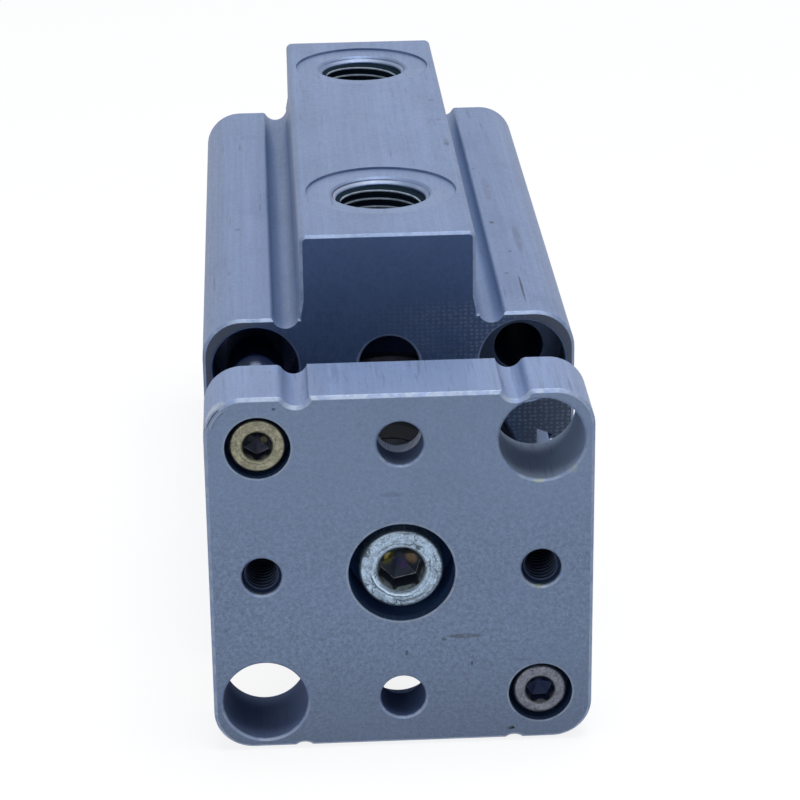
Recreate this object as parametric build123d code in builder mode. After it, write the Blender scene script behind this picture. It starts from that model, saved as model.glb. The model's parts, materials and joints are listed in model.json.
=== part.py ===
"""Short-stroke pneumatic cylinder with a guided front plate.

Millimetres, +Z up. The cylinder's axis is the Y axis. The origin is where that axis meets the barrel's
rear face, which is the face that is bolted down. The front plate moves towards -Y, so places along the
axis are given as distances ahead of the rear face: ahead = -y.
"""
from build123d import *
import os
from math import asin, degrees, sqrt

# Driving dimensions
bore_diameter = 25.0
stroke = 30.0
closed_gap = 4.0
rest_extension = 8.0
seat_shoulder = 1.5
guide_bore_diameter = 9.0
guide_bore_wall = 1.3
hole_edge_distance = 5.5
corner_radius = 4.2

# Barrel section: raised port rib, grooves beside it, sensor slots in both sides
rib_width = 18.2
rib_height = 9.0
rib_edge_radius = 0.7
rib_foot_width = 18.8
rib_foot_height = 0.35
rib_foot_slope = 1.6
groove_radius = 1.4
groove_depth = 1.05
groove_spacing = 21.5
groove_shoulder = 0.4
under_groove_depth = 0.3
slot_depth = 3.9
slot_inner_width = 12.4
slot_shoulder_width = 11.0
slot_lip = 1.7
slot_mouth_width = 10.0
end_chamfer = 0.3

# Supply ports, G1/8
port_thread_diameter = 9.73
port_thread_depth = 10.0
port_chamfer = 0.65
port_passage_diameter = 4.6
port_passage_margin = 0.1
port_seat_diameter = 16.2
port_seat_depth = 0.3

# Mounting holes through the barrel
mount_hole_diameter = 5.2
mount_head_diameter = 9.0
mount_head_depth = 4.5
mouth_chamfer = 0.25

# End caps, held by internal retaining rings
cap_clearance = 0.05
seat_chamfer = 0.3
ring_recess = 1.0
ring_thickness = 1.2
ring_groove_depth = 0.45
ring_width = 1.9
ring_gap = 5.4
ring_lug_radius = 1.9
ring_lug_hole_radius = 0.75
front_cap_length = 10.0
rear_cap_length = 6.7
cap_edge_chamfer = 0.4
lug_pocket_radius = 3.1
lug_pocket_height = 14.0
lug_pocket_chamfer = 0.4
lug_pocket_depth = 3.6
oring_squeezed_height = 1.5
oring_width = 1.9
oring_rounding = 0.45
oring_groove_width = 2.2

# Piston rod, its bush and wiper, and the bumpers that the piston lands on
rod_diameter = 10.0
running_clearance = 0.03
rod_hole_clearance = 0.3
bush_wall = 1.25
bush_length = 5.0
wiper_diameter = 16.0
wiper_depth = 3.2
wiper_clearance = 0.05
bumper_thickness = 2.0
bumper_width = 4.0
bumper_clearance = 0.5

# Piston
piston_nose_length = 3.2
piston_nose_step = 2.35
piston_land = 1.0
piston_inner_land = 0.9
piston_seal_width = 2.6
piston_seal_depth = 2.6
piston_clearance = 0.15
seal_clearance = 0.05
magnet_width = 3.5
magnet_wall = 2.8
band_thickness = 1.15
spigot_diameter = 7.0

# Front plate
plate_inset = 0.25
plate_thickness = 9.0
plate_corner_radius = 4.0
plate_front_chamfer = 0.35
plate_back_chamfer = 0.2
notch_depth = 1.0
notch_shift = 0.6
notch_shoulder = 0.8
plate_tap_diameter = 4.0
plate_hole_diameter = 4.6
plate_hole_head_diameter = 8.0
plate_hole_head_depth = 4.0
plate_access_diameter = 8.6
plate_mouth_chamfer = 0.25

# Guide rods and their bushes
guide_diameter = 6.0
guide_seat_depth = 2.0
guide_seat_clearance = 0.02
guide_end_margin = 4.0
guide_end_chamfer = 0.6
guide_bush_length = 10.0
guide_bush_recess = 6.0
guide_bush_gap = 10.0

# Socket-head screws: M5 for the plate and the piston, M3 for the guide rods
m5 = {"shank": 5.0, "head": 8.5, "height": 5.0, "hex": 4.0, "socket": 2.5, "length": 14.0}
m5_hole_diameter = 5.5
m5_counterbore_diameter = 10.7
m5_counterbore_depth = 5.8
m3 = {"shank": 3.0, "head": 5.5, "height": 3.0, "hex": 2.5, "socket": 1.4, "length": 10.0}
m3_hole_diameter = 3.4
m3_counterbore_diameter = 6.5
m3_counterbore_depth = 3.5
screw_head_chamfer = 0.35
tapping_allowance = 2.0

# Lengths along the axis
rear_seat_depth = ring_recess + ring_thickness + rear_cap_length
front_seat_depth = ring_recess + ring_thickness + front_cap_length
piston_half_length = piston_nose_length + piston_land + piston_seal_width + piston_inner_land
piston_length = 2 * piston_half_length + magnet_width
chamber_length = stroke + piston_length + 2 * (bumper_thickness + bumper_clearance)
body_length = rear_seat_depth + chamber_length + front_seat_depth

# Places along the axis, ahead of the rear face, as the piston stands at rest
front_cap_rear = body_length - front_seat_depth
piston_rear = rear_seat_depth + bumper_thickness + bumper_clearance + rest_extension
piston_front = piston_rear + piston_length
plate_back = body_length + closed_gap + rest_extension
plate_front = plate_back + plate_thickness
port_from_seat = port_passage_diameter / 2 + port_passage_margin
front_port = front_cap_rear - port_from_seat
rear_port = rear_seat_depth + port_from_seat

# Radii and heights that several pieces share
bore_radius = bore_diameter / 2
seat_radius = bore_radius + seat_shoulder
guide_bore_radius = guide_bore_diameter / 2
cap_radius = seat_radius - cap_clearance
oring_floor = seat_radius - oring_squeezed_height
rod_radius = rod_diameter / 2
bush_radius = rod_radius + running_clearance + bush_wall
rod_hole_radius = rod_radius + rod_hole_clearance
piston_radius = bore_radius - piston_clearance
spigot_radius = spigot_diameter / 2

# The square hole pattern, rounded to a tenth, leaves the guide bores their wall beside the cap seats.
# Guide rods lie on one diagonal, mounting screws on the other.
hole_spacing = round(sqrt(2) * (seat_radius + guide_bore_wall + guide_bore_radius), 1)
half_spacing = hole_spacing / 2
guide_places = {"upper": (-half_spacing, half_spacing), "lower": (half_spacing, -half_spacing)}
mount_places = [(half_spacing, half_spacing), (-half_spacing, -half_spacing)]
body_width = hole_spacing + 2 * hole_edge_distance
body_top = body_width / 2
rib_top = body_top + rib_height
plate_width = body_width - 2 * plate_inset
plate_top = plate_width / 2

parts = {}


def across(ahead):
    """The plane square to the axis, at a distance ahead of the rear face, facing forwards."""
    return Plane.XZ.offset(ahead)


def turned(outline):
    """A turned piece. The outline is half its section: radius, and distance ahead of the rear face."""
    with BuildPart() as piece:
        with BuildSketch(Plane.XY):
            with BuildLine():
                Polyline(*[(radius, -ahead) for radius, ahead in outline], close=True)
            make_face()
        revolve(axis=Axis.Y)
    return piece


def sleeve(outer_radius, inner_radius, rear, length, place=(0, 0)):
    """A plain round sleeve along the axis, or along a line beside it at place."""
    with BuildPart() as piece:
        with BuildSketch(across(rear)):
            with Locations(place):
                Circle(outer_radius)
                Circle(inner_radius, mode=Mode.SUBTRACT)
        extrude(amount=length)
    return piece


def top_grooves(top, depth, shift, shoulder):
    """Section of the two round-bottomed grooves in a top face, each with its outer shoulder rounded off."""
    beside = groove_radius + 2 * shoulder
    with BuildSketch() as section:
        with Locations((shift, top + groove_radius - depth)):
            with GridLocations(groove_spacing, 0, 2, 1):
                Circle(groove_radius)
        with Locations((shift, top + shoulder / 2)):
            with GridLocations(groove_spacing + beside, 0, 2, 1):
                Rectangle(beside, shoulder)
        corners = section.vertices().sort_by(lambda corner: abs(corner.Y - top))[:4]
        fillet(ShapeList(corners).sort_by(lambda corner: abs(corner.X - shift))[:2], radius=shoulder)
    return section.sketch_local


def oring(ahead):
    """An O-ring squeezed flat between its groove's floor and the seat around it."""
    side = oring_width / 2
    return turned([
        (oring_floor, ahead - side + oring_rounding),
        (oring_floor + oring_rounding, ahead - side),
        (seat_radius - oring_rounding, ahead - side),
        (seat_radius, ahead - side + oring_rounding),
        (seat_radius, ahead + side - oring_rounding),
        (seat_radius - oring_rounding, ahead + side),
        (oring_floor + oring_rounding, ahead + side),
        (oring_floor, ahead + side - oring_rounding),
    ])


def cap_screw(size, seat, place=(0, 0), facing=1):
    """A socket-head screw whose head stands on seat. It faces forwards, or rearwards with facing -1."""
    head_top = across(seat + facing * size["height"])
    with BuildPart() as piece:
        with BuildSketch(across(seat)):
            with Locations(place):
                Circle(size["head"] / 2)
        extrude(amount=facing * size["height"])
        top = piece.faces().sort_by(Axis.Y)[0 if facing == 1 else -1]
        chamfer(top.edges(), length=screw_head_chamfer)
        with BuildSketch(head_top):
            with Locations(place):
                RegularPolygon(size["hex"] / 2, side_count=6, major_radius=False)
        extrude(amount=-facing * size["socket"], mode=Mode.SUBTRACT)
        with BuildSketch(across(seat)):
            with Locations(place):
                Circle(size["shank"] / 2)
        extrude(amount=-facing * size["length"])
    return piece


def retaining_ring(rear):
    """An internal retaining ring: open at the top, with a drilled lug on each side of the gap."""
    outer_radius = seat_radius + ring_groove_depth
    lug_distance = outer_radius - ring_lug_radius
    lug_angle = degrees(asin((ring_gap / 2 + ring_lug_radius) / lug_distance))
    lugs = PolarLocations(lug_distance, 2, start_angle=90 - lug_angle, angular_range=2 * lug_angle, endpoint=True)
    with BuildPart() as piece:
        with BuildSketch(across(rear)):
            Circle(outer_radius)
            Circle(outer_radius - ring_width, mode=Mode.SUBTRACT)
            with Locations((0, outer_radius)):
                Rectangle(ring_gap, outer_radius, mode=Mode.SUBTRACT)
            with lugs:
                Circle(ring_lug_radius)
            with lugs:
                Circle(ring_lug_hole_radius, mode=Mode.SUBTRACT)
        extrude(amount=ring_thickness)
    return piece


# Barrel: one extruded aluminium profile, bored and drilled
with BuildPart() as barrel:
    with BuildSketch(across(0)):
        RectangleRounded(body_width, body_width, corner_radius)
        with Locations((0, rib_top / 2)):
            RectangleRounded(rib_width, rib_top, rib_edge_radius)
        Polygon(
            (-rib_foot_width / 2, 0),
            (rib_foot_width / 2, 0),
            (rib_foot_width / 2, body_top + rib_foot_height),
            (rib_width / 2, body_top + rib_foot_height + rib_foot_slope),
            (-rib_width / 2, body_top + rib_foot_height + rib_foot_slope),
            (-rib_foot_width / 2, body_top + rib_foot_height),
            align=None,
        )
    extrude(amount=body_length)
    chamfer(barrel.faces().sort_by(Axis.Y)[0].outer_wire().edges(), length=end_chamfer)
    chamfer(barrel.faces().sort_by(Axis.Y)[-1].outer_wire().edges(), length=end_chamfer)

    # Round-bottomed grooves beside the rib, and shallow ones along the underside
    with BuildSketch(across(0)):
        add(top_grooves(body_top, groove_depth, 0, groove_shoulder))
        with Locations((0, -body_top - groove_radius + under_groove_depth)):
            with GridLocations(groove_spacing, 0, 2, 1):
                Circle(groove_radius)
    extrude(amount=body_length, mode=Mode.SUBTRACT)

    # Undercut sensor slots, open along both sides
    with BuildSketch(across(0)):
        with BuildLine():
            inner = body_top - slot_depth
            shoulder = body_top - slot_depth + slot_lip
            Polyline(
                (body_top, slot_mouth_width / 2),
                (shoulder - slot_lip / 4, slot_mouth_width / 2),
                (shoulder, slot_shoulder_width / 2),
                (inner, slot_inner_width / 2),
                (inner, 0),
                (body_top, 0),
                close=True,
            )
        make_face()
        mirror(about=Plane.XZ)
        mirror(about=Plane.YZ)
    extrude(amount=body_length, mode=Mode.SUBTRACT)

    # Cylinder bore and the seats of both end caps
    with BuildSketch(across(0)):
        Circle(bore_radius)
    extrude(amount=body_length, mode=Mode.SUBTRACT)
    for face, inward, depth in ((0, 1, rear_seat_depth), (body_length, -1, front_seat_depth)):
        with BuildSketch(across(face)):
            Circle(seat_radius)
        extrude(amount=inward * depth, mode=Mode.SUBTRACT)
        with BuildSketch(across(face + inward * ring_recess)):
            Circle(seat_radius + ring_groove_depth)
        extrude(amount=inward * ring_thickness, mode=Mode.SUBTRACT)
        with BuildSketch(across(face)):
            Circle(seat_radius + seat_chamfer)
        extrude(amount=inward * seat_chamfer, taper=45, mode=Mode.SUBTRACT)

    # Pockets that clear the lugs of the front retaining ring
    with BuildSketch(across(body_length)):
        with GridLocations(0, 2 * lug_pocket_height, 1, 2):
            Circle(lug_pocket_radius)
    extrude(amount=-lug_pocket_depth, mode=Mode.SUBTRACT)
    with BuildSketch(across(body_length)):
        with GridLocations(0, 2 * lug_pocket_height, 1, 2):
            Circle(lug_pocket_radius + lug_pocket_chamfer)
    extrude(amount=-lug_pocket_chamfer, taper=45, mode=Mode.SUBTRACT)

    # Guide-rod bores on one diagonal, mounting holes on the other, with seats for the screw heads in front
    with BuildSketch(across(0)):
        with Locations(*guide_places.values()):
            Circle(guide_bore_radius)
        with Locations(*mount_places):
            Circle(mount_hole_diameter / 2)
    extrude(amount=body_length, mode=Mode.SUBTRACT)
    with BuildSketch(across(body_length)):
        with Locations(*mount_places):
            Circle(mount_head_diameter / 2)
    extrude(amount=-mount_head_depth, mode=Mode.SUBTRACT)
    for face, inward, mount_diameter in ((0, 1, mount_hole_diameter), (body_length, -1, mount_head_diameter)):
        with BuildSketch(across(face)):
            with Locations(*mount_places):
                Circle(mount_diameter / 2 + mouth_chamfer)
            with Locations(*guide_places.values()):
                Circle(guide_bore_radius + mouth_chamfer)
        extrude(amount=inward * mouth_chamfer, taper=45, mode=Mode.SUBTRACT)

    # Supply ports: faced seat, thread, and a passage into the chamber
    with BuildSketch(Plane.XY.offset(rib_top)):
        with Locations((0, -front_port), (0, -rear_port)):
            Circle(port_seat_diameter / 2)
    extrude(amount=-port_seat_depth, mode=Mode.SUBTRACT)
    with BuildSketch(Plane.XY.offset(rib_top - port_seat_depth)):
        with Locations((0, -front_port), (0, -rear_port)):
            Circle(port_thread_diameter / 2)
    extrude(amount=-port_thread_depth, mode=Mode.SUBTRACT)
    with BuildSketch(Plane.XY.offset(rib_top - port_seat_depth)):
        with Locations((0, -front_port), (0, -rear_port)):
            Circle(port_thread_diameter / 2 + port_chamfer)
    extrude(amount=-port_chamfer, taper=45, mode=Mode.SUBTRACT)
    with BuildSketch(Plane.XY.offset(rib_top - port_thread_depth)):
        with Locations((0, -front_port), (0, -rear_port)):
            Circle(port_passage_diameter / 2)
    extrude(amount=-(rib_top - port_thread_depth), mode=Mode.SUBTRACT)
parts["barrel"] = barrel

# End caps with their O-rings, and the rings that hold them
front_cap_front = front_cap_rear + front_cap_length
front_groove = front_cap_rear + front_cap_length / 2
rear_cap_rear = rear_seat_depth - rear_cap_length
rear_groove = rear_cap_rear + rear_cap_length / 2

front_cap = turned([
    (bush_radius, front_cap_rear),
    (cap_radius - cap_edge_chamfer, front_cap_rear),
    (cap_radius, front_cap_rear + cap_edge_chamfer),
    (cap_radius, front_groove - oring_groove_width / 2),
    (oring_floor, front_groove - oring_groove_width / 2),
    (oring_floor, front_groove + oring_groove_width / 2),
    (cap_radius, front_groove + oring_groove_width / 2),
    (cap_radius, front_cap_front - cap_edge_chamfer),
    (cap_radius - cap_edge_chamfer, front_cap_front),
    (wiper_diameter / 2, front_cap_front),
    (wiper_diameter / 2, front_cap_front - wiper_depth),
    (rod_hole_radius, front_cap_front - wiper_depth),
    (rod_hole_radius, front_cap_rear + bush_length),
    (bush_radius, front_cap_rear + bush_length),
])
parts["front_cap"] = front_cap

rear_cap = turned([
    (0, rear_cap_rear),
    (cap_radius - cap_edge_chamfer, rear_cap_rear),
    (cap_radius, rear_cap_rear + cap_edge_chamfer),
    (cap_radius, rear_groove - oring_groove_width / 2),
    (oring_floor, rear_groove - oring_groove_width / 2),
    (oring_floor, rear_groove + oring_groove_width / 2),
    (cap_radius, rear_groove + oring_groove_width / 2),
    (cap_radius, rear_seat_depth - cap_edge_chamfer),
    (cap_radius - cap_edge_chamfer, rear_seat_depth),
    (0, rear_seat_depth),
])
parts["rear_cap"] = rear_cap

parts["front_cap_oring"] = oring(front_groove)
parts["rear_cap_oring"] = oring(rear_groove)
parts["front_retaining_ring"] = retaining_ring(front_cap_front)
parts["rear_retaining_ring"] = retaining_ring(ring_recess)

# Rod bush and rod wiper in the front cap
parts["rod_bush"] = sleeve(bush_radius, rod_radius + running_clearance, front_cap_rear, bush_length)

wiper_rear = front_cap_front - wiper_depth
wiper_bore = rod_radius + wiper_clearance
rod_wiper = turned([
    (wiper_bore, wiper_rear),
    (wiper_diameter / 2, wiper_rear),
    (wiper_diameter / 2, front_cap_front),
    (wiper_bore + bush_wall, front_cap_front),
    (wiper_bore, front_cap_front + ring_thickness / 2),
    (wiper_bore, front_cap_front - wiper_depth / 4),
    (wiper_bore + bush_wall / 2, front_cap_front - wiper_depth / 2),
    (wiper_bore, front_cap_front - 3 * wiper_depth / 4),
])
parts["rod_wiper"] = rod_wiper

# Bumpers on the inner faces of both caps
bumper_radius = bush_radius + bumper_width
parts["front_bumper"] = sleeve(bumper_radius, bush_radius, front_cap_rear - bumper_thickness, bumper_thickness)
parts["rear_bumper"] = sleeve(bumper_radius, bush_radius, rear_seat_depth, bumper_thickness)

# Guide bushes: a front and an inner one in each guide bore
front_bush = body_length - guide_bush_recess - guide_bush_length
inner_bush = front_bush - guide_bush_gap - guide_bush_length
for side, place in guide_places.items():
    for row, rear in (("front", front_bush), ("inner", inner_bush)):
        parts[f"{side}_{row}_guide_bush"] = sleeve(
            guide_bore_radius, guide_diameter / 2 + running_clearance, rear, guide_bush_length, place)

# Piston: two halves clamped on the rod, with a seal on each and a magnet and wear band between them
seal_floor = piston_radius - piston_seal_depth
magnet_radius = piston_radius - band_thickness
hub_radius = magnet_radius - magnet_wall
nose_radius = piston_radius - piston_nose_step
screw_pocket_radius = m5["head"] / 2 + piston_clearance


def piston_half(end, inward, hole_radius, pocket_radius, pocket_depth):
    """One half, from its end face inwards to the middle of the hub that carries the magnet."""
    stations = [
        (pocket_radius, 0),
        (nose_radius, 0),
        (nose_radius, piston_nose_length),
        (piston_radius, piston_nose_length),
        (piston_radius, piston_nose_length + piston_land),
        (seal_floor, piston_nose_length + piston_land),
        (seal_floor, piston_half_length - piston_inner_land),
        (piston_radius, piston_half_length - piston_inner_land),
        (piston_radius, piston_half_length),
        (hub_radius, piston_half_length),
        (hub_radius, piston_half_length + magnet_width / 2),
        (hole_radius, piston_half_length + magnet_width / 2),
        (hole_radius, pocket_depth),
        (pocket_radius, pocket_depth),
    ]
    return turned([(radius, end + inward * depth) for radius, depth in stations])


def piston_seal(end, inward):
    """A lip seal in a half's groove, its two lips reaching towards the end face and the bore."""
    outer = bore_radius - seal_clearance
    low = end + inward * (piston_nose_length + piston_land)
    high = low + inward * piston_seal_width
    middle_radius = (seal_floor + outer) / 2
    return turned([
        (seal_floor, high),
        (outer - piston_seal_depth / 4, high),
        (outer, (low + high) / 2),
        (outer, low),
        (middle_radius, low + inward * piston_seal_width / 2),
        (seal_floor, low),
    ])


rod_seat_depth = piston_nose_length / 2
parts["piston_front_half"] = piston_half(piston_front, -1, spigot_radius, rod_radius, rod_seat_depth)
parts["piston_rear_half"] = piston_half(piston_rear, 1, spigot_radius, screw_pocket_radius, m5["height"])
parts["piston_front_seal"] = piston_seal(piston_front, -1)
parts["piston_rear_seal"] = piston_seal(piston_rear, 1)
magnet_rear = piston_rear + piston_half_length
parts["piston_magnet"] = sleeve(magnet_radius, hub_radius, magnet_rear, magnet_width)
parts["piston_wear_band"] = sleeve(bore_radius - seal_clearance, magnet_radius, magnet_rear, magnet_width)

# Piston rod, tapped at both ends
spigot_rear = piston_rear + m5["height"]
rod_rear = piston_front - rod_seat_depth
tapping_depth = m5["length"] + tapping_allowance
with BuildPart() as piston_rod:
    with BuildSketch(across(rod_rear)):
        Circle(rod_radius)
    extrude(amount=plate_back - rod_rear)
    with BuildSketch(across(rod_rear)):
        Circle(spigot_radius)
    extrude(amount=spigot_rear - rod_rear)
    for end, inward in ((spigot_rear, 1), (plate_back, -1)):
        with BuildSketch(across(end)):
            Circle(m5["shank"] / 2)
        extrude(amount=inward * tapping_depth, mode=Mode.SUBTRACT)
parts["piston_rod"] = piston_rod

# Front plate
with BuildPart() as front_plate:
    with BuildSketch(across(plate_back)):
        RectangleRounded(plate_width, plate_width, plate_corner_radius)
    extrude(amount=plate_thickness)

    # Notches that carry the barrel's grooves through the plate, and a chamfer round the whole outline
    with BuildSketch(across(plate_back)):
        add(top_grooves(plate_top, notch_depth, notch_shift, notch_shoulder))
        with Locations((notch_shift, -plate_top - groove_radius + under_groove_depth)):
            with GridLocations(groove_spacing, 0, 2, 1):
                Circle(groove_radius)
    extrude(amount=plate_thickness, mode=Mode.SUBTRACT)
    chamfer(front_plate.faces().sort_by(Axis.Y)[0].edges(), length=plate_front_chamfer)
    chamfer(front_plate.faces().sort_by(Axis.Y)[-1].edges(), length=plate_back_chamfer)

    # Holes right through: rod screw, guide screws, threads, load screws, and access to the barrel's screws
    with BuildSketch(across(plate_back)):
        Circle(m5_hole_diameter / 2)
        with Locations(*guide_places.values()):
            Circle(m3_hole_diameter / 2)
        with GridLocations(hole_spacing, 0, 2, 1):
            Circle(plate_tap_diameter / 2)
        with GridLocations(0, hole_spacing, 1, 2):
            Circle(plate_hole_diameter / 2)
        with Locations(*mount_places):
            Circle(plate_access_diameter / 2)
    extrude(amount=plate_thickness, mode=Mode.SUBTRACT)

    # Counterbores for the screw heads at the front
    with BuildSketch(across(plate_front)):
        Circle(m5_counterbore_diameter / 2)
    extrude(amount=-m5_counterbore_depth, mode=Mode.SUBTRACT)
    with BuildSketch(across(plate_front)):
        with Locations(*guide_places.values()):
            Circle(m3_counterbore_diameter / 2)
    extrude(amount=-m3_counterbore_depth, mode=Mode.SUBTRACT)

    # Seats for the guide rods and for the heads of load screws at the back
    with BuildSketch(across(plate_back)):
        with Locations(*guide_places.values()):
            Circle(guide_diameter / 2 + guide_seat_clearance)
    extrude(amount=guide_seat_depth, mode=Mode.SUBTRACT)
    with BuildSketch(across(plate_back)):
        with GridLocations(0, hole_spacing, 1, 2):
            Circle(plate_hole_head_diameter / 2)
    extrude(amount=plate_hole_head_depth, mode=Mode.SUBTRACT)

    # Broken edges at the mouths of the plain and tapped holes
    with BuildSketch(across(plate_front)):
        with Locations(*mount_places):
            Circle(plate_access_diameter / 2 + plate_mouth_chamfer)
        with GridLocations(0, hole_spacing, 1, 2):
            Circle(plate_hole_diameter / 2 + plate_mouth_chamfer)
        with GridLocations(hole_spacing, 0, 2, 1):
            Circle(plate_tap_diameter / 2 + plate_mouth_chamfer)
    extrude(amount=-plate_mouth_chamfer, taper=45, mode=Mode.SUBTRACT)
parts["front_plate"] = front_plate

# Screws that hold the plate to the rod and the piston to its other end
parts["plate_screw"] = cap_screw(m5, plate_front - m5_counterbore_depth)
parts["piston_screw"] = cap_screw(m5, spigot_rear, facing=-1)

# Guide rods, seated in the plate's back and held by a screw through it
guide_front = plate_back + guide_seat_depth
guide_rear = guide_end_margin + rest_extension
for side, place in guide_places.items():
    with BuildPart() as guide_rod:
        with BuildSketch(across(guide_rear)):
            with Locations(place):
                Circle(guide_diameter / 2)
        extrude(amount=guide_front - guide_rear)
        chamfer(guide_rod.faces().sort_by(Axis.Y)[-1].edges(), length=guide_end_chamfer)
        with BuildSketch(across(guide_front)):
            with Locations(place):
                Circle(m3["shank"] / 2)
        extrude(amount=-m3["length"], mode=Mode.SUBTRACT)
    parts[f"{side}_guide_rod"] = guide_rod
    parts[f"{side}_guide_screw"] = cap_screw(m3, plate_front - m3_counterbore_depth, place)

os.makedirs("parts", exist_ok=True)
for node, piece in parts.items():
    piece.part.label = node
    export_step(piece.part, f"parts/{node}.step")
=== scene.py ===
import json
from collections import namedtuple
from math import ceil, cos, pi, radians, sin, sqrt, tau

import bpy
from mathutils import Matrix, Vector


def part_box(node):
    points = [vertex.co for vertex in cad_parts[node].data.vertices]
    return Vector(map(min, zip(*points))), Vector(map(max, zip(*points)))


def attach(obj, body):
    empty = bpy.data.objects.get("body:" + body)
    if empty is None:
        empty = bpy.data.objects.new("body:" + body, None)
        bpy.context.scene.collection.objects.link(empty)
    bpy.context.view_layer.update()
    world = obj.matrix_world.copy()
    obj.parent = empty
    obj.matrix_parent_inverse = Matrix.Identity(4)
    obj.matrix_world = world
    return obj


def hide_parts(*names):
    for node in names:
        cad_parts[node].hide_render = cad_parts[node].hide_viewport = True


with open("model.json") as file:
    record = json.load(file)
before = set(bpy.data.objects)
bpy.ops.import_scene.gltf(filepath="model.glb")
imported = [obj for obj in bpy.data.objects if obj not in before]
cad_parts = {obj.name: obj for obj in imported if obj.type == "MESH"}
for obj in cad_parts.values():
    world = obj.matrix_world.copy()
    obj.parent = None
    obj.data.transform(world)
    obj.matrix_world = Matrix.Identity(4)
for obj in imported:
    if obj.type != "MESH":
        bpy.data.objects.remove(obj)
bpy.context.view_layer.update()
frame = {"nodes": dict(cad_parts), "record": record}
nodes = frame["nodes"]
mounts = {row["name"]: row for row in frame["record"]["mounts"]}
MM = 0.001

# Places from the frame, in metres

PLATE_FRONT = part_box("front_plate")[0].y
PLATE_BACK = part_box("front_plate")[1].y
BARREL_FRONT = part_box("barrel")[0].y
BARREL_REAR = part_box("barrel")[1].y
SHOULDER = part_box("barrel")[1].x
RIB_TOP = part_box("barrel")[1].z
M5_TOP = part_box("plate_screw")[0].y
M3_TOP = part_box("upper_guide_screw")[0].y
HALF_SPACING = mounts["plate_threads"]["dims"]["spacing_x_mm"] / 2 * MM

# Centres of holes, as the two coordinates across their axis

ALONG_Y, ALONG_Z = (0, 2), (0, 1)
MIDDLE = (0.0, 0.0)
UPPER_GUIDE, LOWER_GUIDE = (-HALF_SPACING, HALF_SPACING), (HALF_SPACING, -HALF_SPACING)
RIGHT_ACCESS, LEFT_ACCESS = (HALF_SPACING, HALF_SPACING), (-HALF_SPACING, -HALF_SPACING)
TOP_LOAD, BOTTOM_LOAD = (0.0, HALF_SPACING), (0.0, -HALF_SPACING)
LEFT_TAPPED, RIGHT_TAPPED = (-HALF_SPACING, 0.0), (HALF_SPACING, 0.0)
FRONT_PORT, REAR_PORT = ((0.0, mounts[end + "_supply_port"]["pos_m"][1]) for end in ("front", "rear"))

# Radii of holes, in millimetres

PORT_HOLE = mounts["front_supply_port"]["dims"]["r_mm"]
ACCESS_HOLE = mounts["plate_access_hole_right"]["dims"]["r_mm"]
LOAD_HOLE = mounts["plate_load_holes"]["dims"]["hole_r_mm"]
TAPPED_HOLE = mounts["plate_threads"]["dims"]["hole_r_mm"]
MOUNTING_HOLE = mounts["body_mounting_holes"]["dims"]["hole_r_mm"]
M5_COUNTERBORE, M3_COUNTERBORE = 5.35, 3.25
GUIDE_BORE = 4.5
RING_GROOVE = 14.45
SEEN_THROUGH_LOAD_HOLE = 3.2

# Materials


def times(colour, factor):
    return tuple(min(1.0, channel * factor) for channel in colour)


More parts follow.
